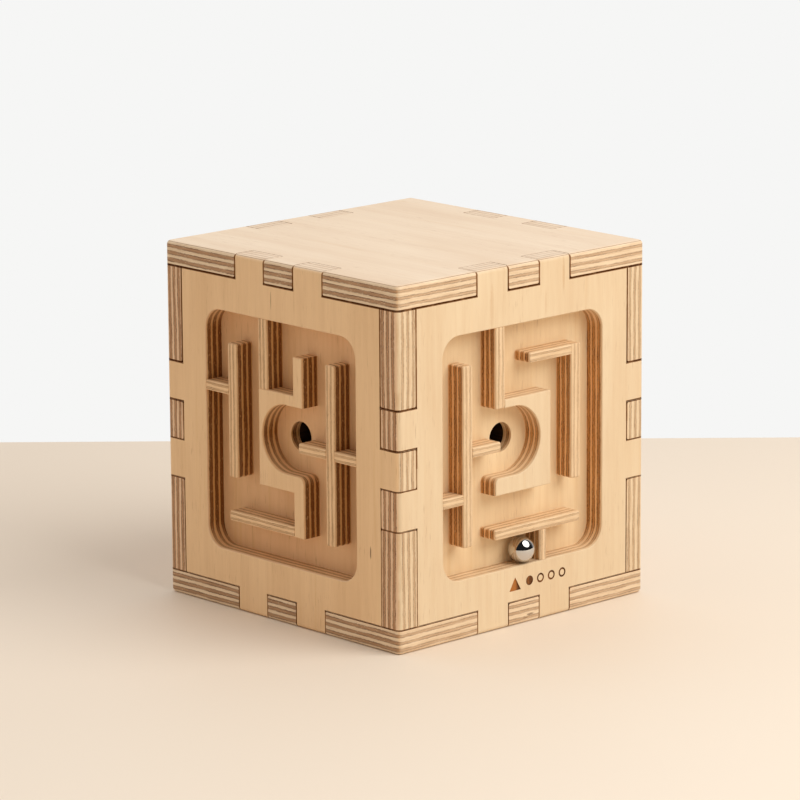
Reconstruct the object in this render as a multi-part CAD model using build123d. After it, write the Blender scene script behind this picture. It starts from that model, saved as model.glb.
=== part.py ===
from build123d import *
import os

# Tilt maze block in birch plywood. A finger-jointed box stands on its bottom
# panel, and each of its four sides is a framed maze for one steel ball.
# Millimetres, +Z up, origin at the middle of the underside.
# The front side faces -Y and the left side faces -X.

# ---- overall size ----
WIDTH = 125.0              # every side, outside to outside
HEIGHT = 134.0             # underside to top
PANEL_T = 9.0              # seven-ply birch panel
EDGE_ROUND = 2.0           # round on the four upright edges
RIM_ROUND = 1.5            # round on the top and bottom rims
GLUE_LINE = 0.15           # gap that the glue fills at every finger joint
ARRIS = 0.25               # softened edge round each sawn outline

# ---- finger joints ----
LEVEL_FINGER = 15.7        # finger length along the level edges
UPRIGHT_FINGER = 14.65     # finger length along the upright edges

# ---- frames and maze floors ----
FRAME_BORDER = 22.0        # from the box edge to the frame opening
FRAME_CORNER_R = 8.0       # corner of the frame opening
FLOOR_T = 4.0              # maze floor board
FLOOR_SEAT = 1.0           # rebate behind the frame that the floor board sits in
FLOOR_LAP = 4.0            # floor board beyond the frame opening, each side
FLOOR_FIT = 0.15           # clearance round the floor board in its rebate

# ---- ball and its way through the box ----
BALL_D = 10.0
BALL_PLAY = 1.0            # holes and passages wider than the ball
BALL_REST_CLEAR = 0.2      # ball to the ledge and to the floor behind it
PASSAGE_X = -4.2           # middle of the front-to-back passage
PASSAGE_Y = -2.8           # middle of the left-to-right passage
PASSAGE_RISE = 2.1         # both passages above the middle of the box
CORE_T = 9.0               # each of the two core boards
CORE_FIT = 0.1             # core boards to the floor boards, each side

# ---- maze walls ----
WALL_BACKSET = 0.1         # wall fronts behind the face of the frame
UPRIGHT_T = 4.6            # upright strips
LEDGE_T = 3.8              # level strips
STOP_T = 3.2               # short stop beside the starting place
WALL_SOFTEN = 0.4          # round on the front edges of the walls
BOWL_R = 12.8              # hollow of the block round the ball hole
RUN_PLAY = 1.5             # play of the ball in the runs along the frame
UPPER_RUN_PLAY = 1.7
BLOCK_SOLE = 6.3           # block below its hollow

# ---- maze open to its left (front and right sides) ----
A_OUTER_PLAY = 0.3         # play of the ball behind the outer upright
A_STUB_V = -15.6           # middle of the stub behind it
A_HANGING_U = -14.0        # left side of the hanging upright
A_BLOCK_HEAD = 3.1         # block above its hollow
A_BLOCK_SIDE = 5.2         # block behind its hollow
A_ARM_END = -14.1          # left end of the block's lower arm
A_ARM_R = 2.0              # round at that end
A_TIP_U = -11.4            # tip of the ledge that leads to the hole
A_TIP_V = 1.0              # middle of that ledge
A_HOOK_LEFT = 3.2          # left end of the hook's ledge
A_HOOK_PLAY = 1.3          # play of the ball behind the hook's upright
A_START_LEFT = -14.5       # left end of the ledge above the start
A_STOP_U = 8.6             # left side of the stop beside the start

# ---- maze open to its right (left and back sides) ----
B_OUTER_PLAY = 2.2         # play of the ball behind the outer upright
B_STUB_V = 15.7            # middle of the stub behind it
B_BLOCK_HEAD = 4.1
B_BLOCK_SIDE = 1.5
B_ARM_LEFT = 7.2           # inside of the block's two arms
B_UP_ARM_RIGHT = 11.8
B_DOWN_ARM_RIGHT = 12.4
B_ARM_R = 3.0              # round where the hollow meets the lower arm
B_TIP_U = 9.8              # tip of the ledge that leads to the hole
B_TIP_V = 0.1              # middle of that ledge

# ---- starting place of the ball ----
START_X = 1.35

# ---- burnt mark below the starting place ----
MARK_DEPTH = 0.3
MARK_Z = 15.6              # middle of the mark
POINTER_X = -4.5           # arrowhead that points up at the ball
POINTER_W = 5.9
POINTER_H = 5.0
PIP_X = 2.9                # first of four pips, one for each maze
PIP_PITCH = 5.6
PIP_D = 3.6
PIP_RING = 0.7             # width of the open pips' rings

# ---- worked out from the sizes above ----
HALF_W = WIDTH / 2
HALF_H = HEIGHT / 2
UPRIGHT_END = HALF_H - 1.5 * UPRIGHT_FINGER
OPEN_HALF_U = HALF_W - FRAME_BORDER
OPEN_HALF_V = HALF_H - FRAME_BORDER
MAZE_DEPTH = PANEL_T - FLOOR_SEAT
WALL_H = MAZE_DEPTH - WALL_BACKSET
FLOOR_W = 2 * (OPEN_HALF_U + FLOOR_LAP)
FLOOR_H = 2 * (OPEN_HALF_V + FLOOR_LAP)
INNER_HALF = HALF_W - MAZE_DEPTH - FLOOR_T
BALL_R = BALL_D / 2
BALL_WAY = BALL_D + BALL_PLAY
RUN_TOP = OPEN_HALF_V - BALL_D - UPPER_RUN_PLAY
RUN_BOTTOM = -OPEN_HALF_V + BALL_D + RUN_PLAY
RUN_RIGHT = OPEN_HALF_U - BALL_D - RUN_PLAY
A_OUTER_U = -OPEN_HALF_U + BALL_D + A_OUTER_PLAY
A_HOOK_RIGHT = OPEN_HALF_U - BALL_D - A_HOOK_PLAY
B_OUTER_U = -OPEN_HALF_U + BALL_D + B_OUTER_PLAY
B_INNER_U = RUN_RIGHT - UPRIGHT_T
BOWL_TOP = PASSAGE_RISE + BOWL_R
BOWL_BOTTOM = PASSAGE_RISE - BOWL_R
BLOCK_BOTTOM = BOWL_BOTTOM - BLOCK_SOLE
A_BLOCK_TOP = BOWL_TOP + A_BLOCK_HEAD
A_BLOCK_RIGHT = PASSAGE_X + BOWL_R + A_BLOCK_SIDE
B_BLOCK_TOP = BOWL_TOP + B_BLOCK_HEAD
B_BLOCK_LEFT = -PASSAGE_Y - BOWL_R - B_BLOCK_SIDE

# Each side has its own plane: local X runs to the right and local Y runs up
# as seen from outside, and local Z points out of the box.
SIDES = {
    "front": Plane((0, -HALF_W, HALF_H), x_dir=(1, 0, 0), z_dir=(0, -1, 0)),
    "left": Plane((-HALF_W, 0, HALF_H), x_dir=(0, -1, 0), z_dir=(-1, 0, 0)),
    "back": Plane((0, HALF_W, HALF_H), x_dir=(-1, 0, 0), z_dir=(0, 1, 0)),
    "right": Plane((HALF_W, 0, HALF_H), x_dir=(0, 1, 0), z_dir=(1, 0, 0)),
}

# Fingers of each side panel on its left and right upright edges.
OUTER_FINGERS = (-1, 1)
MIDDLE_FINGER = (0,)
FINGERS = {
    "front": (OUTER_FINGERS, OUTER_FINGERS),
    "left": (OUTER_FINGERS, MIDDLE_FINGER),
    "back": (OUTER_FINGERS, MIDDLE_FINGER),
    "right": (MIDDLE_FINGER, MIDDLE_FINGER),
}

# Where each side's maze floor is pierced, to meet the passages in the core.
HOLE_U = {
    "front": PASSAGE_X,
    "back": -PASSAGE_X,
    "left": -PASSAGE_Y,
    "right": PASSAGE_Y,
}


def envelope():
    """The outside of the whole box with its rounded edges."""
    block = Pos(0, 0, HALF_H) * Box(WIDTH, WIDTH, HEIGHT)
    block = fillet(block.edges().filter_by(Axis.Z), EDGE_ROUND)
    rims = block.faces().sort_by(Axis.Z)
    return fillet(rims[0].edges() + rims[-1].edges(), RIM_ROUND)


OUTSIDE = envelope()


def rectangle(u0, u1, v0, v1):
    """A flat rectangle between two pairs of ordinates."""
    middle = ((u0 + u1) / 2, (v0 + v1) / 2)
    return Pos(*middle) * Rectangle(u1 - u0, v1 - v0)


def soften(solid, plane):
    """Take the sharp arris off the outline on the plane's outer side."""
    outer = solid.faces().filter_by(plane).sort_by(Axis(plane.origin, plane.z_dir))[-1]
    return chamfer(outer.edges(), ARRIS)


def end_panel(base):
    """Top or bottom panel, notched for the fingers of the side panels."""
    outline = Rectangle(WIDTH, WIDTH)
    notch = PANEL_T + GLUE_LINE / 2
    for turn in range(4):
        for side in (-1, 1):
            cut = Rectangle(LEVEL_FINGER + GLUE_LINE, 2 * notch)
            outline -= Rot(0, 0, 90 * turn) * Pos(side * LEVEL_FINGER, HALF_W) * cut
    outer_z = 0 if base else HEIGHT
    plane = Plane((0, 0, outer_z), x_dir=(1, 0, 0), z_dir=(0, 0, -1 if base else 1))
    panel = extrude(plane * outline, -PANEL_T)
    return soften(panel, plane) & OUTSIDE


def side_panel(side):
    """Side panel with its fingers, frame opening and rebate for the floor."""
    plane = SIDES[side]
    shoulder_u = HALF_W - PANEL_T
    shoulder_v = HALF_H - PANEL_T
    outline = Rectangle(2 * shoulder_u, 2 * shoulder_v)
    for place in OUTER_FINGERS:
        outline += Pos(place * LEVEL_FINGER, 0) * Rectangle(LEVEL_FINGER, HEIGHT + GLUE_LINE)
    for edge, places in zip((-1, 1), FINGERS[side]):
        middle = edge * HALF_W / 2
        for place in places:
            finger = Rectangle(HALF_W + GLUE_LINE, UPRIGHT_FINGER)
            outline += Pos(middle, place * UPRIGHT_FINGER) * finger
    outline = offset(outline, -GLUE_LINE / 2, kind=Kind.INTERSECTION)
    opening = RectangleRounded(2 * OPEN_HALF_U, 2 * OPEN_HALF_V, FRAME_CORNER_R)
    panel = extrude(plane * (outline - opening), -PANEL_T)
    rebate = Box(FLOOR_W, FLOOR_H, 2 * (PANEL_T - MAZE_DEPTH))
    panel = soften(panel, plane) - plane * Pos(0, 0, -PANEL_T) * rebate
    return panel & OUTSIDE


def start_mark():
    """Outline of the arrowhead and the pips: the first is solid, as this maze is the first."""
    low = MARK_Z - POINTER_H / 2 - HALF_H
    half = POINTER_W / 2
    foot = [(POINTER_X - half, low), (POINTER_X + half, low), (POINTER_X, low + POINTER_H)]
    mark = Polygon(*foot, align=None)
    for pip in range(len(SIDES)):
        place = Pos(PIP_X + pip * PIP_PITCH, MARK_Z - HALF_H)
        mark += place * Circle(PIP_D / 2)
        if pip > 0:
            mark -= place * Circle(PIP_D / 2 - PIP_RING)
    return mark


def front_panel():
    """Side panel of the front, with the mark sunk into its face."""
    sunk = extrude(SIDES["front"] * start_mark(), -MARK_DEPTH)
    return side_panel("front") - sunk


def corner_block(toward_x, toward_y, upper):
    """Square block that fills the corner above or below the fingers."""
    length = UPRIGHT_END - PANEL_T - GLUE_LINE
    size = PANEL_T - GLUE_LINE / 2
    rise = HALF_H - PANEL_T - (UPRIGHT_END - PANEL_T) / 2
    x = toward_x * (HALF_W - size / 2)
    y = toward_y * (HALF_W - size / 2)
    z = HALF_H + (rise if upper else -rise)
    return (Pos(x, y, z) * Box(size, size, length)) & OUTSIDE


def maze_floor(side):
    """Board behind the frame, with the hole that the ball drops through."""
    board = Box(FLOOR_W - 2 * FLOOR_FIT, FLOOR_H - 2 * FLOOR_FIT, FLOOR_T)
    board = Pos(0, 0, -MAZE_DEPTH - FLOOR_T / 2) * board
    hole = Pos(HOLE_U[side], PASSAGE_RISE, -MAZE_DEPTH) * Cylinder(BALL_WAY / 2, 4 * FLOOR_T)
    return SIDES[side] * (board - hole)


def wall(side, sketch):
    """A maze wall: its outline stands on the maze floor."""
    plane = SIDES[side]
    seated = plane.offset(-MAZE_DEPTH)
    solid = extrude(seated * sketch, WALL_H)
    front = solid.faces().filter_by(plane).sort_by(Axis(plane.origin, plane.z_dir))[-1]
    return fillet(front.edges(), WALL_SOFTEN)


def upright(left, bottom, top, thickness=UPRIGHT_T):
    """Outline of an upright strip from its left side."""
    return rectangle(left, left + thickness, bottom, top)


def ledge(left, right, middle):
    """Outline of a level strip about its middle height."""
    return rectangle(left, right, middle - LEDGE_T / 2, middle + LEDGE_T / 2)


def block_open_left(hole_u):
    """Block whose round hollow opens to the left."""
    block = rectangle(A_ARM_END, A_BLOCK_RIGHT, BLOCK_BOTTOM, A_BLOCK_TOP)
    block -= Pos(hole_u, PASSAGE_RISE) * Circle(BOWL_R)
    block -= rectangle(A_ARM_END - 1, hole_u, BOWL_BOTTOM, BOWL_TOP)
    upper_end = A_HANGING_U + UPRIGHT_T
    block -= rectangle(A_ARM_END - 1, upper_end, PASSAGE_RISE, A_BLOCK_TOP + 1)
    corner = block.vertices().sort_by_distance((A_ARM_END, BOWL_BOTTOM))[0]
    return fillet(corner, A_ARM_R)


def block_open_right(hole_u):
    """Block whose round hollow opens to the right, with an arm up and down."""
    block = rectangle(B_BLOCK_LEFT, B_DOWN_ARM_RIGHT, BLOCK_BOTTOM, PASSAGE_RISE)
    block += rectangle(B_BLOCK_LEFT, B_UP_ARM_RIGHT, PASSAGE_RISE, B_BLOCK_TOP)
    block += rectangle(B_ARM_LEFT, B_UP_ARM_RIGHT, B_BLOCK_TOP - 1, RUN_TOP)
    block += rectangle(B_ARM_LEFT, B_DOWN_ARM_RIGHT, RUN_BOTTOM, BLOCK_BOTTOM + 1)
    block -= Pos(hole_u, PASSAGE_RISE) * Circle(BOWL_R)
    block -= rectangle(hole_u, B_DOWN_ARM_RIGHT + 1, BOWL_BOTTOM, BOWL_TOP)
    corner = block.vertices().sort_by_distance((B_DOWN_ARM_RIGHT, BOWL_BOTTOM))[0]
    return fillet(corner, B_ARM_R)


def maze_open_left(side, with_start):
    """Walls of the maze whose block opens to the left."""
    outer_right = A_OUTER_U + UPRIGHT_T
    hook_u = A_HOOK_RIGHT - UPRIGHT_T
    start_v = RUN_BOTTOM + LEDGE_T / 2
    walls = {
        "outer_upright": upright(A_OUTER_U, RUN_BOTTOM, RUN_TOP),
        "outer_stub": ledge(-OPEN_HALF_U, A_OUTER_U, A_STUB_V),
        "hanging_upright": upright(A_HANGING_U, BOWL_TOP, OPEN_HALF_V),
        "hole_block": block_open_left(HOLE_U[side]),
        "hole_ledge": ledge(outer_right, A_TIP_U, A_TIP_V),
        "hook_ledge": ledge(A_HOOK_LEFT, hook_u, RUN_TOP - LEDGE_T / 2),
        "hook_upright": upright(hook_u, BLOCK_BOTTOM, RUN_TOP),
        "lower_ledge": ledge(A_START_LEFT, RUN_RIGHT, start_v),
    }
    if with_start:
        walls["start_stop"] = upright(A_STOP_U, -OPEN_HALF_V, RUN_BOTTOM, STOP_T)
    return walls


def maze_open_right(side):
    """Walls of the maze whose block opens to the right."""
    lower_v = RUN_BOTTOM + LEDGE_T / 2
    return {
        "outer_upright": upright(B_OUTER_U, BLOCK_BOTTOM, RUN_TOP),
        "outer_stub": ledge(-OPEN_HALF_U, B_OUTER_U, B_STUB_V),
        "hanging_upright": upright(B_BLOCK_LEFT, B_BLOCK_TOP, OPEN_HALF_V),
        "hole_block": block_open_right(HOLE_U[side]),
        "hole_ledge": ledge(B_TIP_U, B_INNER_U, B_TIP_V),
        "inner_upright": upright(B_INNER_U, RUN_BOTTOM, RUN_TOP),
        "inner_stub": ledge(RUN_RIGHT, OPEN_HALF_U, B_TIP_V),
        "lower_ledge": ledge(B_OUTER_U, B_ARM_LEFT, lower_v),
    }


def core_board(upper):
    """One half of the core, with two crossing grooves for the ball."""
    width = 2 * (INNER_HALF - CORE_FIT)
    joint_z = HALF_H + PASSAGE_RISE
    middle_z = joint_z + (CORE_T / 2 if upper else -CORE_T / 2)
    board = Pos(0, 0, middle_z) * Box(width, width, CORE_T)
    board -= Pos(PASSAGE_X, 0, joint_z) * Box(BALL_WAY, 2 * width, BALL_WAY)
    board -= Pos(0, PASSAGE_Y, joint_z) * Box(2 * width, BALL_WAY, BALL_WAY)
    return board


def ball():
    """Steel ball at its starting place on the frame's lower inside edge."""
    y = -HALF_W + MAZE_DEPTH - BALL_REST_CLEAR - BALL_R
    z = FRAME_BORDER + BALL_REST_CLEAR + BALL_R
    return Pos(START_X, y, z) * Sphere(BALL_R)


def assembly():
    """Every piece of the maze block under its own name."""
    pieces = {
        "top_panel": end_panel(base=False),
        "bottom_panel": end_panel(base=True),
        "core_board_upper": core_board(upper=True),
        "core_board_lower": core_board(upper=False),
        "steel_ball": ball(),
    }
    for side in SIDES:
        pieces[side + "_panel"] = side_panel(side)
        pieces[side + "_maze_floor"] = maze_floor(side)
    pieces["front_panel"] = front_panel()
    for depth, toward_y in (("front", -1), ("back", 1)):
        for hand, toward_x in (("left", -1), ("right", 1)):
            for level, upper in (("upper", True), ("lower", False)):
                name = "corner_block_" + depth + "_" + hand + "_" + level
                pieces[name] = corner_block(toward_x, toward_y, upper)
    mazes = {
        "front": maze_open_left("front", with_start=True),
        "right": maze_open_left("right", with_start=False),
        "left": maze_open_right("left"),
        "back": maze_open_right("back"),
    }
    for side, walls in mazes.items():
        for name, outline in walls.items():
            pieces[side + "_" + name] = wall(side, outline)
    return pieces


os.makedirs("parts", exist_ok=True)
for node, shape in assembly().items():
    export_step(shape, "parts/" + node + ".step")
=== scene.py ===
import math

import bpy
import numpy as np
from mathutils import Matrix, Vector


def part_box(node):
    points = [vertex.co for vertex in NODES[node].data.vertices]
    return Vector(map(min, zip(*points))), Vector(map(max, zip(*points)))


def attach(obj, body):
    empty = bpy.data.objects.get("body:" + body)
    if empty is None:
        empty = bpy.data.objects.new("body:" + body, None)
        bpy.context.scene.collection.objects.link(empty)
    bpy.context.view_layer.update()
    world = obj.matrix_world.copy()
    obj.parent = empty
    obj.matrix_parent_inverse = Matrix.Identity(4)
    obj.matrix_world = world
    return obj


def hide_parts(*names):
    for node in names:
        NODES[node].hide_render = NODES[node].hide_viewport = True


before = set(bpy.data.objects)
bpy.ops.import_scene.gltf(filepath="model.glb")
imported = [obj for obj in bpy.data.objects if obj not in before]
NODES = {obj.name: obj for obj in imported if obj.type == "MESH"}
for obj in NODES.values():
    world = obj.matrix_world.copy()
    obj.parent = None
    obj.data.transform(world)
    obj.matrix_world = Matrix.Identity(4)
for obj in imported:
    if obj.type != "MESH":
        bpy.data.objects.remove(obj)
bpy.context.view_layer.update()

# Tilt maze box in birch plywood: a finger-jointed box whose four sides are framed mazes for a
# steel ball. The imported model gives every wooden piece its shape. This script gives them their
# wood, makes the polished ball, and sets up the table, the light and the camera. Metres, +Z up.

MM = 0.001

# ---- sizes read from the frame, in millimetres ----
TOP_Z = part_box("top_panel")[1].z / MM
HALF_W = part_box("top_panel")[1].x / MM
MIDDLE_Z = TOP_Z / 2
PANEL_T = TOP_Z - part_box("top_panel")[0].z / MM
PLY = PANEL_T / 7                           # one veneer of the seven-ply panels
LEVEL_FINGER = 15.7                         # fingers along the level edges
UPRIGHT_FINGER = (MIDDLE_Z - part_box("corner_block_front_left_lower")[1].z / MM) / 1.5
SHOULDER_U = HALF_W - PANEL_T               # where the fingers start, from the middle of a side
SHOULDER_V = MIDDLE_Z - PANEL_T
STRIP_PLY = 1.25                            # one veneer of the maze strips
STRIP_ROUND = 0.6                           # round on a strip's front edges
END_ROUND = 0.7                             # round at a strip's free end, seen from the front
SIDE_RELIEF = 0.09                          # how far the glue lines lie in, along a strip's sides
END_RELIEF = 0.32                           # and at its free ends
FINGER_ROUND = 0.8                          # worn corner of a finger
JOINT_DIRT = 0.20                           # glue and dust on each side of a joint
TOP_JOINT_SHADOW = 0.14                       # and as much again under the top panel, as painted shadow
STRIP_DEPTH = 8.0                           # strips and blocks, from front to floor
FLOOR_T = 3.0                               # maze floors
CORE_BOARD_T = 9.0
GRAIN_SHIFT = (37.0, 91.0)                  # moves the grain from one node to the next
MARK_DEPTH = 0.6                            # the burnt mark is charred down to here,
MARK_LOW, MARK_HIGH = 12.0, 19.5            # between these heights,
MARK_HALF = 26.0                            # and this far to each side of the middle
POINTER_TIP, POINTER_BLACK = -4.4, -2.6     # its arrowhead is singed first and then black
POINTER_END = -1.4                          # and ends here

# ---- camera ----
CAMERA_DISTANCE = 1.6976
CAMERA_AZIMUTH = math.radians(46.784)       # the way it looks, from +X towards +Y
CAMERA_PITCH = math.radians(-12.770)
CAMERA_ROLL = math.radians(-0.354)
CAMERA_AIM = (-0.0004, 0.0024, MIDDLE_Z * MM + 0.0061)
LENS = 205.67                               # millimetres, on a 36 mm wide sensor

# ---- finishes ----
# Birch plywood: rotary-cut veneer, sanded and clear finished, so it is pale with a soft sheen.
# Cross veneers show brown end grain on a sawn edge, and the glue lines between are darker. The
# sawn sides in the mazes are scorched, and the box's outer edges are sanded clean again.
PALE_BIRCH = "#EBD4B2"
TAN_BIRCH = "#F6D0A2"
# painted light: the top face is paler and cooler, as white light falls on it from above
TOP_BIRCH_PAINTED_LIGHT = "#EFDBC3"
EDGE_BIRCH = "#F0D8B8"                      # the veneers between, on the edges of top and bottom
TAN_EDGE = "#F0CCA8"                        # and on the upright edges on the left
PALE_FLOOR = "#F8DEB6"
PALE_STRIP = "#EDD0AA"
TAN_FLOOR = "#EFC294"
GRAIN_BROWN = "#C08C52"
PITCH = "#DDAE66"
PORE_BROWN = "#9C6A38"
GLUE_BROWN = "#643A18"
OUTER_GRAIN = "#AA7240"                     # end grain on the outside, rubbed down with the faces
PALE_MAZE_GRAIN = "#CC9052"                 # end grain in the mazes
PALE_MAZE_SCORCH = "#F0BE86"                # and the veneers between, on the scorched sides
# left and back mazes: darker end grain and scorch, partly the wood's own and partly painted shade of their
# deep recesses
TAN_MAZE_GRAIN_AND_SHADE = "#7A4614"
TAN_MAZE_SCORCH_AND_SHADE = "#CC9656"
JOINT_BROWN = "#3C1804"
JOINT_STAIN = "#8E5A24"                     # where the glue has soaked in beside a joint
CORE_PAINTED_SHADE = "#26170C"                       # painted shade: the ways inside are black, as little light gets in
CHAR = "#60340A"                            # burnt mark
SCORCH = "#B06C2C"
BEARING_STEEL = "#D2D0CE"
TABLE_TONE = "#EEE1D2"
BACKDROP = "#F6F6F5"

# ---- light ----
BRIGHT_WALL = "#F4F2F0"                     # behind the box
BRIGHT_TURN = math.radians(25.0)            # how far that wall is turned from the view
ROOM_SIDE = "#B2A99C"                       # on the camera's side
ROOM_IN_GLOSS = "#242426"                   # the same side, as polished steel mirrors it
KEY_DIRECTION = (0.22, -0.67, 0.71)
KEY_DISTANCE = 1.25
KEY_SIZE = 1.25
KEY_POWER = 12.9
KEY_TINT = "#FFFDF8"


def linear(hex_colour):
    """sRGB hex to linear RGBA."""
    values = [int(hex_colour[i:i + 2], 16) / 255 for i in (1, 3, 5)]
    return [v / 12.92 if v <= 0.04045 else ((v + 0.055) / 1.055) ** 2.4 for v in values] + [1.0]


def add(tree, kind, links=None, **settings):
    """A node of one kind: settings are its properties, links its sockets' values or sources."""
    node = tree.nodes.new(kind)
    for name, value in settings.items():
        setattr(node, name, value)
    for socket, value in (links or {}).items():
        if isinstance(value, bpy.types.NodeSocket):
            tree.links.new(value, node.inputs[socket])
        else:
            node.inputs[socket].default_value = value
    return node


def put(tree, operation, *values):
    """The result of one step of arithmetic."""
    return add(tree, "ShaderNodeMath", dict(enumerate(values)), operation=operation).outputs[0]


def blend(tree, factor, a, b):
    """Colour b over colour a by a factor."""
    return add(tree, "ShaderNodeMix", {0: factor, 6: a, 7: b}, data_type="RGBA").outputs[2]


def step(tree, value, low, high, first=0.0, last=1.0):
    """A smooth step from first to last between two values."""
    links = {0: value, 1: low, 2: high, 3: first, 4: last}
    return add(tree, "ShaderNodeMapRange", links, interpolation_type="SMOOTHSTEP").outputs[0]


def grain(tree, place, stretch, detail=3.0, rough=0.55):
    """Noise drawn out along the wood: stretch is how many patterns there are in a millimetre."""
    drawn = add(tree, "ShaderNodeVectorMath", {0: place, 1: stretch}, operation="MULTIPLY").outputs[0]
    links = {"Vector": drawn, "Scale": 1.0, "Detail": detail, "Roughness": rough}
    return add(tree, "ShaderNodeTexNoise", links).outputs["Fac"]


def plywood_cut():
    """Birch plywood seen on any cut. Place is in millimetres, with X across the face grain, Y the
    depth below the face and Z along the face grain. The veneers alternate with depth: those along
    the grain are pale, and the cross veneers show dark end grain. Face is 1 on the face itself,
    and Toast is how far the pale veneers have gone towards Burnt."""
    tree = bpy.data.node_groups.new("birch_plywood_cut", "ShaderNodeTree")
    for name, kind in (("Place", "Vector"), ("Period", "Float"), ("First", "Float"), ("Thick", "Float"),
                       ("Dark", "Float"), ("Toast", "Float"), ("Face", "Float"), ("Pale", "Color"),
                       ("Brown", "Color"), ("Burnt", "Color")):
        tree.interface.new_socket(name, in_out="INPUT", socket_type="NodeSocket" + kind)
    for name, kind in (("Color", "Color"), ("Relief", "Float")):
        tree.interface.new_socket(name, in_out="OUTPUT", socket_type="NodeSocket" + kind)
    use = add(tree, "NodeGroupInput").outputs
    place = use["Place"]
    depth = add(tree, "ShaderNodeSeparateXYZ", {0: place}).outputs["Y"]

    # Face: fine grain, slow drifts of tone, streaks of pitch, and short dark pores in patches.
    lines = step(tree, grain(tree, place, (0.55, 0.55, 0.03), 5.0, 0.65), 0.35, 0.72)
    drift = step(tree, grain(tree, place, (0.10, 0.10, 0.005), 3.0, 0.5), 0.42, 0.66)
    cloud = step(tree, grain(tree, place, (0.035, 0.035, 0.012), 2.0, 0.5), 0.38, 0.64)
    patch = step(tree, grain(tree, place, (0.06, 0.06, 0.02), 1.0, 0.5), 0.38, 0.62)
    pores = step(tree, grain(tree, place, (1.9, 1.9, 0.13), 2.0, 0.5), 0.60, 0.74)
    pitch = step(tree, grain(tree, place, (0.30, 0.30, 0.008), 3.0, 0.6), 0.58, 0.74)
    dashes = put(tree, "MULTIPLY", pores, put(tree, "ADD", 0.10, put(tree, "MULTIPLY", patch, 0.90)))
    tone = put(tree, "ADD", put(tree, "MULTIPLY", lines, 0.12), put(tree, "MULTIPLY", drift, 0.09))
    tone = put(tree, "ADD", tone, put(tree, "MULTIPLY", cloud, 0.09))
    veneer = blend(tree, tone, use["Pale"], linear(GRAIN_BROWN))
    veneer = blend(tree, put(tree, "MULTIPLY", pitch, 0.22), veneer, linear(PITCH))
    veneer = blend(tree, put(tree, "MULTIPLY", dashes, 0.34), veneer, linear(PORE_BROWN))

    # Edge: bands that follow the depth, with a broken brown glue line at each border.
    sway = put(tree, "SUBTRACT", grain(tree, place, (0.03, 0.05, 0.03), 2.0, 0.5), 0.5)
    fray = put(tree, "SUBTRACT", grain(tree, place, (0.7, 0.7, 0.7), 3.0, 0.7), 0.5)
    shift = put(tree, "ADD", put(tree, "MULTIPLY", sway, 1.1), put(tree, "MULTIPLY", fray, 0.55))
    depth_in = put(tree, "ADD", depth, shift)
    phase = put(tree, "DIVIDE", put(tree, "SUBTRACT", depth_in, use["First"]), use["Period"])
    turn = put(tree, "SUBTRACT", put(tree, "FRACT", put(tree, "ADD", phase, 0.5)), 0.5)
    offset = put(tree, "MULTIPLY", put(tree, "ABSOLUTE", turn), 2.0)
    reach = put(tree, "ADD", 0.30, put(tree, "MULTIPLY", use["Dark"], 0.24))
    past = put(tree, "SUBTRACT", offset, reach)
    inside = put(tree, "MULTIPLY", step(tree, depth, 0.45, 0.75),
                 step(tree, put(tree, "SUBTRACT", use["Thick"], depth), 0.25, 0.5))
    band = put(tree, "MULTIPLY", step(tree, past, -0.10, 0.10, 1.0, 0.0), inside)
    glue = put(tree, "MULTIPLY", step(tree, put(tree, "ABSOLUTE", past), 0.03, 0.24, 1.0, 0.0), inside)
    keep = step(tree, grain(tree, place, (0.10, 1.3, 0.10), 3.0, 0.6), 0.38, 0.60)
    streak = step(tree, grain(tree, place, (0.10, 1.9, 0.10), 4.0, 0.7), 0.38, 0.66)
    fleck = step(tree, grain(tree, place, (0.8, 2.4, 0.8), 2.0, 0.6), 0.52, 0.64)
    pale = blend(tree, put(tree, "MULTIPLY", streak, 0.32), use["Pale"], linear(GRAIN_BROWN))
    pale = blend(tree, use["Toast"], pale, use["Burnt"])
    brown = blend(tree, put(tree, "MULTIPLY", streak, 0.50), use["Brown"], linear(GLUE_BROWN))
    smoke = step(tree, grain(tree, place, (0.015, 0.42, 0.015), 2.0, 0.5), 0.44, 0.60)
    smoked = put(tree, "MULTIPLY", put(tree, "MULTIPLY", use["Toast"], smoke), 0.45)
    heavy = put(tree, "ADD", 0.50, smoked)
    brown = blend(tree, put(tree, "MULTIPLY", smoke, put(tree, "MULTIPLY", use["Toast"], 0.45)), brown,
                  linear(GLUE_BROWN))
    brown = blend(tree, put(tree, "MULTIPLY", fleck, heavy), brown, linear(GLUE_BROWN))
    spark = step(tree, grain(tree, place, (0.8, 2.2, 0.8), 1.0, 0.5), 0.60, 0.72)
    brown = blend(tree, put(tree, "MULTIPLY", spark, 0.45), brown, pale)
    amount = put(tree, "ADD", 0.22, put(tree, "MULTIPLY", use["Dark"], 0.68))
    edge = blend(tree, put(tree, "MULTIPLY", band, amount), pale, brown)
    glue = put(tree, "MULTIPLY", glue, put(tree, "ADD", 0.14, put(tree, "MULTIPLY", keep, 0.50)))
    glue = put(tree, "MULTIPLY", glue, put(tree, "ADD", 0.40, put(tree, "MULTIPLY", use["Dark"], 0.90)))
    glue = put(tree, "MULTIPLY", glue, put(tree, "ADD", 1.0, put(tree, "MULTIPLY", fleck, 0.6)))
    edge = blend(tree, glue, edge, linear(GLUE_BROWN))

    colour = blend(tree, use["Face"], edge, veneer)
    on_face = put(tree, "MULTIPLY", put(tree, "SUBTRACT", lines, pores), use["Face"])
    on_edge = put(tree, "MULTIPLY", put(tree, "SUBTRACT", put(tree, "MULTIPLY", streak, 0.5), band),
                  put(tree, "SUBTRACT", 1.0, use["Face"]))
    add(tree, "NodeGroupOutput", {"Color": colour, "Relief": put(tree, "ADD", on_face, on_edge)})
    return tree


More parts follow.
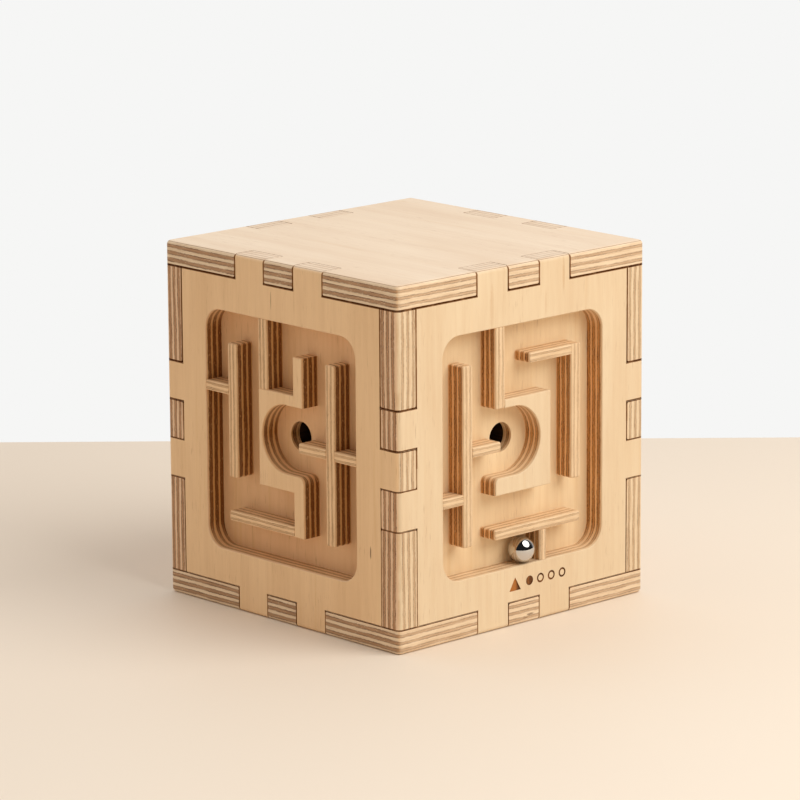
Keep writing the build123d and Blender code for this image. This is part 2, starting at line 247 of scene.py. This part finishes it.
def joint_lines():
    """Where glue and dust sit along the finger joints, on the four sides of the box. Spot is in
    millimetres. Each finger's end is a rectangle with worn corners, and the line follows it.
    At every upright edge one side has outer fingers, and the other side has the middle one."""
    tree = bpy.data.node_groups.new("joint_lines", "ShaderNodeTree")
    tree.interface.new_socket("Spot", in_out="INPUT", socket_type="NodeSocketVector")
    tree.interface.new_socket("Line", in_out="OUTPUT", socket_type="NodeSocketFloat")
    spot = add(tree, "NodeGroupInput").outputs["Spot"]
    x, y, z = add(tree, "ShaderNodeSeparateXYZ", {0: spot}).outputs
    wide, deep = put(tree, "ABSOLUTE", x), put(tree, "ABSOLUTE", y)
    across = put(tree, "MINIMUM", wide, deep)
    up = put(tree, "ABSOLUTE", put(tree, "SUBTRACT", z, MIDDLE_Z))

    # Painted shadow: under the top panel's overhang the joint lines are wider.
    above = put(tree, "GREATER_THAN", z, MIDDLE_Z)
    reach = put(tree, "ADD", JOINT_DIRT, put(tree, "MULTIPLY", above, TOP_JOINT_SHADOW))

    def outline(beyond_x, beyond_y):
        """Line round a rectangle, from how far a spot lies beyond its sides. It is darkest along
        the level sides and in the corners."""
        qx = put(tree, "ADD", beyond_x, FINGER_ROUND)
        qy = put(tree, "ADD", beyond_y, FINGER_ROUND)
        far_x = put(tree, "POWER", put(tree, "MAXIMUM", qx, 0.0), 2.0)
        far_y = put(tree, "POWER", put(tree, "MAXIMUM", qy, 0.0), 2.0)
        far = put(tree, "SQRT", put(tree, "ADD", far_x, far_y))
        near = put(tree, "MINIMUM", put(tree, "MAXIMUM", qx, qy), 0.0)
        worn = put(tree, "SUBTRACT", put(tree, "ADD", far, near), FINGER_ROUND)
        square = put(tree, "MAXIMUM", beyond_x, beyond_y)
        within = step(tree, put(tree, "ADD", worn, reach), -0.22, 0.12)
        beyond = step(tree, put(tree, "SUBTRACT", square, reach), -0.12, 0.22, 1.0, 0.0)
        strength = step(tree, put(tree, "SUBTRACT", beyond_y, beyond_x), -1.2, 0.2, 0.60, 1.0)
        return put(tree, "MULTIPLY", put(tree, "MULTIPLY", within, beyond), strength)

    on_y = put(tree, "GREATER_THAN", deep, wide)
    front_or_right = put(tree, "MAXIMUM", put(tree, "LESS_THAN", y, 0.0),
                         put(tree, "GREATER_THAN", x, 0.0))
    back_left = put(tree, "MULTIPLY", put(tree, "LESS_THAN", x, 0.0), put(tree, "GREATER_THAN", y, 0.0))
    outer = put(tree, "ADD", put(tree, "MULTIPLY", on_y, front_or_right),
                put(tree, "MULTIPLY", put(tree, "SUBTRACT", 1.0, on_y), back_left))
    centre = put(tree, "MULTIPLY", put(tree, "SUBTRACT", 1.0, outer), UPRIGHT_FINGER)
    to_shoulder = put(tree, "SUBTRACT", SHOULDER_U, across)
    to_end = put(tree, "SUBTRACT", SHOULDER_V, up)
    middle = outline(put(tree, "SUBTRACT", across, LEVEL_FINGER / 2), to_end)
    ends = outline(put(tree, "SUBTRACT", 1.5 * LEVEL_FINGER, across), to_end)
    from_centre = put(tree, "ABSOLUTE", put(tree, "SUBTRACT", up, centre))
    finger = outline(to_shoulder, put(tree, "SUBTRACT", from_centre, UPRIGHT_FINGER / 2))
    block = outline(to_shoulder, put(tree, "SUBTRACT", 1.5 * UPRIGHT_FINGER, up))
    block = put(tree, "MULTIPLY", block, step(tree, to_end, 0.0, 0.2))
    line = put(tree, "MAXIMUM", put(tree, "MAXIMUM", middle, ends), put(tree, "MAXIMUM", finger, block))
    at_side = step(tree, put(tree, "MAXIMUM", wide, deep), HALF_W - 1.1, HALF_W - 0.8)
    worn_away = step(tree, grain(tree, spot, (0.22, 0.22, 0.22), 3.0, 0.6), 0.34, 0.54, 0.70, 1.0)
    line = put(tree, "MULTIPLY", line, put(tree, "MULTIPLY", at_side, worn_away))
    add(tree, "NodeGroupOutput", {"Line": line})
    return tree


PLYWOOD = plywood_cut()
JOINTS = joint_lines()

# Natural flaws: which side they are on, their middle, their half sizes, and how far they show.
# Places are from the middle of the side and from the underside, in millimetres.
FLAWS = {
    "left_panel": [("left", (-4.05, 119.6), (0.30, 4.8), 0.55),
                   ("left", (47.9, 35.2), (0.45, 3.4), 0.80),
                   ("left", (8.5, 121.0), (0.35, 9.0), 0.25)],
    "front_panel": [("front", (20.3, 127.0), (0.9, 9.0), 0.30),
                    ("front", (11.2, 118.0), (0.5, 6.5), 0.22),
                    ("front", (-16.0, 120.0), (1.3, 12.0), 0.22)],
    "bottom_panel": [("front", (3.2, 2.9), (2.6, 0.55), 0.70),
                     ("front", (0.6, 1.9), (2.0, 0.30), 0.55)],
}

# Turn about Z that brings each side round to face -Y, and about X that brings the ends there.
LIES = {
    "front": (0.0, 0.0, 0.0),
    "left": (0.0, 0.0, 90.0),
    "back": (0.0, 0.0, 180.0),
    "right": (0.0, 0.0, -90.0),
    "top": (90.0, 0.0, 0.0),
    "bottom": (-90.0, 0.0, 0.0),
}
TO_FACE = {"top": TOP_Z, "bottom": 0.0}     # brings the outer face to depth 0


def plywood(node, lie, pale, brown, burnt, kind, thick, seed, along=None):
    """Birch plywood for one node, and its material's node tree. The seed shifts the grain."""
    material = bpy.data.materials.new("birch_plywood_" + node)
    material.use_nodes = True
    tree = material.node_tree
    tree.nodes.clear()
    spot = add(tree, "ShaderNodeTexCoord").outputs
    turned = tuple(math.radians(angle) for angle in LIES[lie])
    links = {"Vector": spot["Object"], "Scale": (1 / MM,) * 3}
    world = add(tree, "ShaderNodeMapping", links).outputs[0]
    offset = (0.0, TO_FACE.get(lie, HALF_W), 0.0)
    links = {"Vector": world, "Rotation": turned, "Location": offset}
    place = add(tree, "ShaderNodeMapping", links).outputs[0]
    normal = add(tree, "ShaderNodeMapping", {"Vector": spot["Normal"], "Rotation": turned}).outputs[0]
    x, depth, z = add(tree, "ShaderNodeSeparateXYZ", {0: place}).outputs
    nx, ny, nz = [put(tree, "ABSOLUTE", n) for n in add(tree, "ShaderNodeSeparateXYZ", {0: normal}).outputs]
    level = put(tree, "ABSOLUTE", add(tree, "ShaderNodeSeparateXYZ", {0: spot["Normal"]}).outputs["Z"])
    signed_x, signed_y, wz = add(tree, "ShaderNodeSeparateXYZ", {0: world}).outputs
    wx, wy = put(tree, "ABSOLUTE", signed_x), put(tree, "ABSOLUTE", signed_y)

    # Painted light: level cuts and the outer edges show less brown, most on the front and back edges that
    # face the light, and level cuts are less scorched. The strips' fronts show less brown.
    outer_x = step(tree, wx, HALF_W - 1.0, HALF_W - 0.2)
    outer_y = step(tree, wy, HALF_W - 1.0, HALF_W - 0.2)
    on_top = step(tree, wz, TOP_Z - 0.8, TOP_Z - 0.2)
    outside = put(tree, "MAXIMUM", put(tree, "MAXIMUM", outer_x, outer_y), on_top)
    dark = put(tree, "MULTIPLY", put(tree, "SUBTRACT", 1.0, put(tree, "MULTIPLY", level, 0.7)),
               put(tree, "SUBTRACT", 1.0, put(tree, "MULTIPLY", outer_y, 0.65)))
    dark = put(tree, "MULTIPLY", dark, put(tree, "SUBTRACT", 1.0, put(tree, "MULTIPLY", outer_x, 0.22)))
    dark = put(tree, "MULTIPLY", dark, put(tree, "SUBTRACT", 1.0, put(tree, "MULTIPLY", on_top, 0.7)))
    scorch_with_painted_light = put(tree, "MULTIPLY", put(tree, "SUBTRACT", 1.0, put(tree, "MULTIPLY", level, 0.85)),
                put(tree, "SUBTRACT", 1.0, outside))
    buried = step(tree, depth, 0.2, 3.6)
    scorch_with_painted_light = put(tree, "MULTIPLY", scorch_with_painted_light, put(tree, "ADD", 0.40, put(tree, "MULTIPLY", buried, 0.60)))
    brown = blend(tree, outside, linear(brown), linear(OUTER_GRAIN))
    # Painted light: the top face takes the paler, cooler tone of light from above.
    pale = blend(tree, on_top, linear(pale), linear(TOP_BIRCH_PAINTED_LIGHT))
    face = step(tree, ny, 0.6, 0.85)
    if kind in ("side", "corner"):
        # Finger ends are rubbed to the tone of the side they show on.
        on_left = step(tree, signed_x, 0.2 - HALF_W, 1.0 - HALF_W, 1.0, 0.0)
        rubbed = blend(tree, on_left, linear(PALE_BIRCH), linear(TAN_EDGE))
        beside = put(tree, "SUBTRACT", outside, on_top)
        at_end = put(tree, "MULTIPLY", beside, put(tree, "SUBTRACT", 1.0, face))
        pale = blend(tree, at_end, pale, rubbed)
    period, first = 2 * PLY, 1.5 * PLY

    if kind == "corner":
        # The veneers of a corner block show on both of its outer faces, side by side.
        depth = put(tree, "SUBTRACT", 2 * HALF_W, put(tree, "ADD", wx, wy))
        place = add(tree, "ShaderNodeCombineXYZ", {0: 0.0, 1: depth, 2: wz}).outputs[0]
        face = 0.0
        first = first + 0.5
    if kind == "strip":
        # A strip is sawn across the board, so its front shows veneers along its length.
        first = 1.5 * STRIP_PLY + 0.1
        lies_level = along == "level"
        low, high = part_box(node)
        middle = (low.z + high.z) / 2 / MM
        if not lies_level:
            centre = {"front": (low.x + high.x) / 2, "back": -(low.x + high.x) / 2,
                      "left": -(low.y + high.y) / 2, "right": (low.y + high.y) / 2}
            middle = centre[lie] / MM
        across = put(tree, "ADD", put(tree, "SUBTRACT", z if lies_level else x, middle), 3.35)
        along_it = x if lies_level else z
        front = add(tree, "ShaderNodeCombineXYZ", {0: depth, 1: across, 2: along_it}).outputs[0]
        on_front = step(tree, depth, 0.40, 0.55, 1.0, 0.0)
        links = {0: on_front, 4: place, 5: front}
        place = add(tree, "ShaderNodeMix", links, data_type="VECTOR").outputs[1]
        period = put(tree, "SUBTRACT", 2 * STRIP_PLY, put(tree, "MULTIPLY", on_front, 0.6))
        first = put(tree, "ADD", first, put(tree, "MULTIPLY", on_front, 0.4))
        dark = put(tree, "MULTIPLY", dark, put(tree, "SUBTRACT", 1.0, put(tree, "MULTIPLY", on_front, 0.6)))
        scorch_with_painted_light = put(tree, "MULTIPLY", scorch_with_painted_light, put(tree, "SUBTRACT", 1.0, on_front))
        face = 0.0
    if kind == "block":
        period, first = 2 * STRIP_PLY, 1.5 * STRIP_PLY + 0.1

    shift = (GRAIN_SHIFT[0] * seed, 0.0, GRAIN_SHIFT[1] * seed)
    shifted = add(tree, "ShaderNodeVectorMath", {0: place, 1: shift}).outputs[0]
    links = {"Place": shifted, "Period": period, "First": first, "Thick": thick, "Dark": dark,
             "Toast": put(tree, "MULTIPLY", scorch_with_painted_light, 0.85), "Face": face, "Pale": pale, "Brown": brown,
             "Burnt": linear(burnt)}
    cut = add(tree, "ShaderNodeGroup", links, node_tree=PLYWOOD)
    colour = cut.outputs["Color"]

    for side, at, reach, strength in FLAWS.get(node, ()):
        across = {"front": signed_x, "left": put(tree, "MULTIPLY", signed_y, -1.0)}[side]
        over = put(tree, "DIVIDE", put(tree, "SUBTRACT", across, at[0]), reach[0])
        above = put(tree, "DIVIDE", put(tree, "SUBTRACT", wz, at[1]), reach[1])
        ring = put(tree, "ADD", put(tree, "POWER", over, 2.0), put(tree, "POWER", above, 2.0))
        torn = grain(tree, shifted, (1.5, 1.5, 0.6), 2.0)
        ragged = put(tree, "ADD", ring, put(tree, "MULTIPLY", torn, 0.8))
        near = put(tree, "MULTIPLY", step(tree, ragged, 0.45, 1.2, 1.0, 0.0), strength)
        outwards = signed_y if side == "front" else signed_x
        at_front = step(tree, outwards, 1.0 - HALF_W, 2.0 - HALF_W, 1.0, 0.0)
        tint = linear(GLUE_BROWN if strength > 0.4 else GRAIN_BROWN)
        colour = blend(tree, put(tree, "MULTIPLY", near, at_front), colour, tint)

    shine = put(tree, "SUBTRACT", 0.35, put(tree, "MULTIPLY", scorch_with_painted_light, 0.20))
    if kind in ("side", "end", "corner"):
        # Glue and dust lie along the joints, with a painted shadow under the top panel, and on the broken
        # arrises on the top and bottom.
        line = add(tree, "ShaderNodeGroup", {"Spot": world}, node_tree=JOINTS).outputs["Line"]
        line = put(tree, "MULTIPLY", line, step(tree, level, 0.6, 0.9, 1.0, 0.0))
        slant = put(tree, "SUBTRACT", 1.0, put(tree, "MAXIMUM", put(tree, "MAXIMUM", nx, ny), nz))
        up = put(tree, "ABSOLUTE", put(tree, "SUBTRACT", wz, MIDDLE_Z))
        at_end = step(tree, up, MIDDLE_Z - 0.4, MIDDLE_Z - 0.3)
        inboard = step(tree, put(tree, "MAXIMUM", wx, wy), HALF_W - 0.6, HALF_W - 0.5, 1.0, 0.0)
        arris = put(tree, "MULTIPLY", step(tree, slant, 0.10, 0.22), put(tree, "MULTIPLY", at_end, inboard))
        dirt_and_shadow = put(tree, "MAXIMUM", line, put(tree, "MULTIPLY", arris, 0.6))
        colour = blend(tree, step(tree, dirt_and_shadow, 0.0, 0.5, 0.0, 0.9), colour, linear(JOINT_STAIN))
        colour = blend(tree, step(tree, dirt_and_shadow, 0.40, 1.0), colour, linear(JOINT_BROWN))
        shine = put(tree, "MULTIPLY", shine, put(tree, "SUBTRACT", 1.0, dirt_and_shadow))
    if node == "front_panel":
        # The sunk mark is burnt: everything just below the face there is charred.
        below_face = step(tree, depth, 0.05, 0.12)
        burn = put(tree, "MULTIPLY", below_face,
                   step(tree, depth, MARK_DEPTH, MARK_DEPTH + 0.1, 1.0, 0.0))
        burn = put(tree, "MULTIPLY", burn, step(tree, z, MARK_HIGH, MARK_HIGH + 0.5, 1.0, 0.0))
        burn = put(tree, "MULTIPLY", burn, step(tree, z, MARK_LOW - 0.5, MARK_LOW))
        aside = put(tree, "ABSOLUTE", x)
        burn = put(tree, "MULTIPLY", burn, step(tree, aside, MARK_HALF, MARK_HALF + 1.0, 1.0, 0.0))
        singe = step(tree, grain(tree, place, (0.5, 0.5, 0.25), 3.0), 0.40, 0.62)
        blacker = step(tree, x, POINTER_TIP, POINTER_BLACK)
        pointer = blend(tree, blacker, linear(SCORCH), linear(CHAR))
        mark = blend(tree, put(tree, "MULTIPLY", singe, 0.5), linear(CHAR), linear(SCORCH))
        mark = blend(tree, step(tree, x, POINTER_END, POINTER_END + 0.2), pointer, mark)
        colour = blend(tree, burn, colour, mark)

    # Satin clear coat over sanded wood: low sheen, with the grain just felt.
    relief = {"Height": cut.outputs["Relief"], "Strength": 0.25, "Distance": 0.00012}
    bump = add(tree, "ShaderNodeBump", relief).outputs[0]
    rough = step(tree, cut.outputs["Relief"], -1.0, 1.0, 0.62, 0.48)
    links = {"Base Color": colour, "Roughness": rough, "Normal": bump, "IOR": 1.5,
             "Specular IOR Level": shine}
    shader = add(tree, "ShaderNodeBsdfPrincipled", links)
    add(tree, "ShaderNodeOutputMaterial", {"Surface": shader.outputs[0]})
    return material


# How far each end of a strip stands free, the left or lower end first, seen from outside.
FREE_ENDS = {
    "outer_upright": (1.0, 1.0),
    "inner_upright": (1.0, 1.0),
    "hanging_upright": (1.0, 0.0),
    "hook_upright": (1.0, 0.3),
    "hook_ledge": (1.0, 0.0),
    "start_stop": (0.0, 0.0),
    "outer_stub": (0.0, 0.0),
    "inner_stub": (0.0, 0.0),
    "hole_ledge": (0.0, 1.0),
    "lower_ledge": (1.0, 1.0),
}
TAN_FREE_ENDS = {                           # where the left and back mazes differ
    "hanging_upright": (0.0, 0.0),
    "hole_ledge": (1.0, 0.0),
    "lower_ledge": (1.0, 0.0),
}
# Each side's sideways axis and its direction, and its depth axis and the way out of the box.
AXES = {"front": (0, 1, 1, -1), "left": (1, -1, 0, -1), "back": (0, -1, 1, 1), "right": (1, 1, 0, 1)}


def sawn_strip(node, seed):
    """Maze strip whose veneers stand out a little. At depth w below its front, with s the way
    through one veneer from 0 to 1, the outline is a rectangle with round corners, drawn in by
    R - sqrt(R^2 - (R - w)^2) near the front and by relief * (2 s - 1)^4 all the way down."""
    side, part = node.split("_", 1)
    tan = side in ("left", "back")
    free = TAN_FREE_ENDS.get(part, FREE_ENDS[part]) if tan else FREE_ENDS[part]
    low, high = (np.array(corner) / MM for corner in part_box(node))
    sideways, sign, inward, way_out = AXES[side]
    u = sorted((sign * low[sideways], sign * high[sideways]))
    v = [low[2], high[2]]
    lies_level = part.endswith("ledge") or part.endswith("stub")
    along, across = (u, v) if lies_level else (v, u)
    deep = high[inward] - low[inward]

    rounding = STRIP_ROUND * (1 - np.cos(np.linspace(0, np.pi / 2, 6)))
    w = np.unique(np.concatenate([rounding, np.linspace(STRIP_ROUND, deep, 56)]))
    ply = np.floor(w / STRIP_PLY)
    hump = (2 * (w / STRIP_PLY - ply) - 1) ** 4 * (1 + 0.35 * np.sin(2.3 * ply + 1.7 * seed))
    hump = hump * np.clip(w / STRIP_ROUND, 0, 1)
    to_edge = STRIP_ROUND - np.minimum(w, STRIP_ROUND)
    drawn = STRIP_ROUND - np.sqrt(STRIP_ROUND ** 2 - to_edge ** 2)
    half = (across[1] - across[0]) / 2 - drawn - SIDE_RELIEF * hump
    ends = [f * (drawn + END_RELIEF * hump) + (1 - f) * 0.25 * drawn for f in free]
    radii = [f * END_ROUND + 0.05 for f in free]
    a = np.linspace(0, np.pi / 2, 6)
    rings = []
    for quarter, end in enumerate((1, 0, 0, 1)):
        angle = a + quarter * np.pi / 2
        out_along, out_across = (1 if end else -1), (1 if quarter < 2 else -1)
        tip = (along[1] - ends[1]) if end else (along[0] + ends[0])
        centre_along = tip - out_along * radii[end]
        centre_across = sum(across) / 2 + out_across * (half - radii[end])
        rings.append(np.stack([centre_along[:, None] + radii[end] * np.cos(angle),
                               centre_across[:, None] + radii[end] * np.sin(angle)], -1))
    outline = np.concatenate(rings, axis=1)
    points = np.empty(outline.shape[:2] + (3,))
    points[..., sideways] = sign * outline[..., 0 if lies_level else 1]
    points[..., 2] = outline[..., 1 if lies_level else 0]
    front = low[inward] if way_out < 0 else high[inward]
    points[..., inward] = (front - way_out * w)[:, None]

    index = np.arange(points.shape[0] * points.shape[1]).reshape(points.shape[:2])
    ahead = np.roll(index, -1, axis=1)
    quads = np.stack([index[:-1], index[1:], ahead[1:], ahead[:-1]], -1).reshape(-1, 4)
    caps = [index[0], index[-1, ::-1]]
    if not lies_level:
        quads, caps = quads[:, ::-1], [cap[::-1] for cap in caps]
    mesh = bpy.data.meshes.new("sawn_" + node)
    faces = quads.tolist() + [cap.tolist() for cap in caps]
    mesh.from_pydata((points.reshape(-1, 3) * MM).tolist(), [], faces)
    smooth = np.ones(len(mesh.polygons), dtype=bool)
    smooth[-2:] = False
    mesh.polygons.foreach_set("use_smooth", smooth)
    strip = bpy.data.objects.new("sawn_" + node, mesh)
    bpy.context.scene.collection.objects.link(strip)
    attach(strip, "box")
    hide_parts(node)
    return mesh


def give(node, material):
    """The node shows this material only."""
    slots = NODES[node].data.materials
    slots.clear()
    slots.append(material)


def finish_wood():
    """Every wooden node gets its own plywood. The front and right sides are a paler sheet."""
    for seed, node in enumerate(sorted(NODES)):
        side = node.split("_")[0]
        tan = side in ("left", "back")
        pale = TAN_BIRCH if tan else PALE_BIRCH
        # The left and back mazes' darker sawn colours are partly painted shade.
        brown = TAN_MAZE_GRAIN_AND_SHADE if tan else PALE_MAZE_GRAIN
        burnt = TAN_MAZE_SCORCH_AND_SHADE if tan else PALE_MAZE_SCORCH
        if node == "steel_ball":
            continue
        if node in ("top_panel", "bottom_panel"):
            give(node, plywood(node, side, EDGE_BIRCH, brown, burnt, "end", PANEL_T, seed))
        elif node.startswith("corner_block"):
            give(node, plywood(node, "front", PALE_BIRCH, brown, burnt, "corner", PANEL_T, seed))
        elif node.startswith("core_board"):
            # The core boards are painted black to stand in for the shade inside the ways.
            give(node, plywood(node, "top", CORE_PAINTED_SHADE, CORE_PAINTED_SHADE, CORE_PAINTED_SHADE, "core", CORE_BOARD_T, seed))
        elif node.endswith("_panel"):
            give(node, plywood(node, side, pale, brown, burnt, "side", PANEL_T, seed))
        elif node.endswith("maze_floor"):
            floor = TAN_FLOOR if tan else PALE_FLOOR
            give(node, plywood(node, side, floor, brown, burnt, "floor", PANEL_T + FLOOR_T, seed))
        elif node.endswith("hole_block"):
            give(node, plywood(node, side, pale, brown, burnt, "block", STRIP_DEPTH, seed))
        else:
            along = "level" if node.endswith("ledge") or node.endswith("stub") else "upright"
            sawn = pale if tan else PALE_STRIP
            wood = plywood(node, side, sawn, brown, burnt, "strip", STRIP_DEPTH, seed, along)
            give(node, wood)
            sawn_strip(node, seed).materials.append(wood)


def polished_ball():
    """Bearing ball: centre + radius * (cos a cos b, cos a sin b, sin a), on a grid of a and b."""
    low, high = (np.array(corner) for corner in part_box("steel_ball"))
    centre, radius = (low + high) / 2, (high[2] - low[2]) / 2
    rows, columns = 64, 128
    a = np.linspace(-np.pi / 2, np.pi / 2, rows + 1)[1:-1, None]
    b = np.linspace(0, 2 * np.pi, columns, endpoint=False)[None, :]
    ring = np.stack([np.cos(a) * np.cos(b), np.cos(a) * np.sin(b), np.sin(a) * np.ones_like(b)], -1)
    points = np.concatenate([ring.reshape(-1, 3), [[0, 0, -1]], [[0, 0, 1]]]) * radius + centre
    index = np.arange((rows - 1) * columns).reshape(rows - 1, columns)
    ahead = np.roll(index, -1, axis=1)
    quads = np.stack([index[:-1], ahead[:-1], ahead[1:], index[1:]], -1).reshape(-1, 4)
    south = np.stack([ahead[0], index[0], np.full(columns, index.size)], -1)
    north = np.stack([index[-1], ahead[-1], np.full(columns, index.size + 1)], -1)
    mesh = bpy.data.meshes.new("polished_ball")
    mesh.from_pydata(points.tolist(), [], quads.tolist() + south.tolist() + north.tolist())
    mesh.shade_smooth()
    ball = bpy.data.objects.new("polished_ball", mesh)
    bpy.context.scene.collection.objects.link(ball)

    # Polished bearing steel: nearly a mirror, a little grey, with the faintest lapping haze.
    material = bpy.data.materials.new("polished_bearing_steel")
    material.use_nodes = True
    tree = material.node_tree
    tree.nodes.clear()
    spot = add(tree, "ShaderNodeTexCoord").outputs["Object"]
    haze = add(tree, "ShaderNodeTexNoise", {"Vector": spot, "Scale": 900.0, "Detail": 3.0}).outputs["Fac"]
    polish = step(tree, haze, 0.3, 0.7, 0.03, 0.07)
    links = {"Base Color": linear(BEARING_STEEL), "Metallic": 1.0, "Roughness": polish}
    shader = add(tree, "ShaderNodeBsdfPrincipled", links)
    add(tree, "ShaderNodeOutputMaterial", {"Surface": shader.outputs[0]})
    mesh.materials.append(material)
    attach(ball, "ball")
    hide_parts("steel_ball")


def plain_material(name, colour, roughness):
    """Plain matt stage surface."""
    material = bpy.data.materials.new(name)
    material.use_nodes = True
    shader = material.node_tree.nodes["Principled BSDF"]
    shader.inputs["Base Color"].default_value = linear(colour)
    shader.inputs["Roughness"].default_value = roughness
    shader.inputs["Specular IOR Level"].default_value = 0.2
    return material


def table():
    """Plain pale table top, turned to face the camera, with its far edge behind the box."""
    far, near, side = 0.247, 1.6, 3.2
    ahead = np.array([math.cos(CAMERA_AZIMUTH), math.sin(CAMERA_AZIMUTH), 0.0])
    right = np.array([ahead[1], -ahead[0], 0.0])
    corners = [ahead * far - right * side, ahead * far + right * side,
               -ahead * near + right * side, -ahead * near - right * side]
    mesh = bpy.data.meshes.new("table_top")
    mesh.from_pydata([c.tolist() for c in corners], [], [(3, 2, 1, 0)])
    board = bpy.data.objects.new("table_top", mesh)
    bpy.context.scene.collection.objects.link(board)
    mesh.materials.append(plain_material("pale_laminate", TABLE_TONE, 0.6))


def camera():
    """Long lens, looking slightly down at the front left edge of the box."""
    data = bpy.data.cameras.new("camera")
    data.lens = LENS
    data.sensor_width = 36.0
    data.clip_start = 0.05
    view = bpy.data.objects.new("camera", data)
    flat = math.cos(CAMERA_PITCH)
    ahead = (flat * math.cos(CAMERA_AZIMUTH), flat * math.sin(CAMERA_AZIMUTH), math.sin(CAMERA_PITCH))
    view.location = [aim - CAMERA_DISTANCE * a for aim, a in zip(CAMERA_AIM, ahead)]
    turned = Vector(ahead).to_track_quat("-Z", "Y").to_matrix()
    view.rotation_euler = (turned @ Matrix.Rotation(CAMERA_ROLL, 3, "Z")).to_euler()
    bpy.context.scene.collection.objects.link(view)
    bpy.context.scene.camera = view


def softbox(name, direction, distance, size, power, colour):
    """A round soft light that faces the middle of the box."""
    data = bpy.data.lights.new(name, "AREA")
    data.shape = "DISK"
    data.size = size
    data.energy = power
    data.color = linear(colour)[:3]
    light = bpy.data.objects.new(name, data)
    away = Vector(direction).normalized()
    light.location = Vector((0, 0, MIDDLE_Z * MM)) + away * distance
    light.rotation_euler = away.to_track_quat("Z", "Y").to_euler()
    bpy.context.scene.collection.objects.link(light)


def room():
    """Soft light from the pale backdrop behind, and a dim room on the camera's side."""
    world = bpy.data.worlds.new("studio")
    world.use_nodes = True
    bpy.context.scene.world = world
    tree = world.node_tree
    tree.nodes.clear()
    way = add(tree, "ShaderNodeTexCoord").outputs["Generated"]
    brightest = CAMERA_AZIMUTH + BRIGHT_TURN
    behind = (math.cos(brightest), math.sin(brightest), 0.0)
    links = {0: way, 1: behind}
    toward = add(tree, "ShaderNodeVectorMath", links, operation="DOT_PRODUCT").outputs["Value"]
    ray = add(tree, "ShaderNodeLightPath").outputs
    room_side = blend(tree, ray["Is Glossy Ray"], linear(ROOM_SIDE), linear(ROOM_IN_GLOSS))
    light = blend(tree, step(tree, toward, -0.2, 0.6), room_side, linear(BRIGHT_WALL))
    colour = blend(tree, ray["Is Camera Ray"], light, linear(BACKDROP))
    shade = add(tree, "ShaderNodeBackground", {"Color": colour, "Strength": 1.0})
    add(tree, "ShaderNodeOutputWorld", {"Surface": shade.outputs[0]})


finish_wood()
polished_ball()
table()
camera()
room()
softbox("key_softbox", KEY_DIRECTION, KEY_DISTANCE, KEY_SIZE, KEY_POWER, KEY_TINT)
bpy.context.scene.view_settings.view_transform = "Standard"
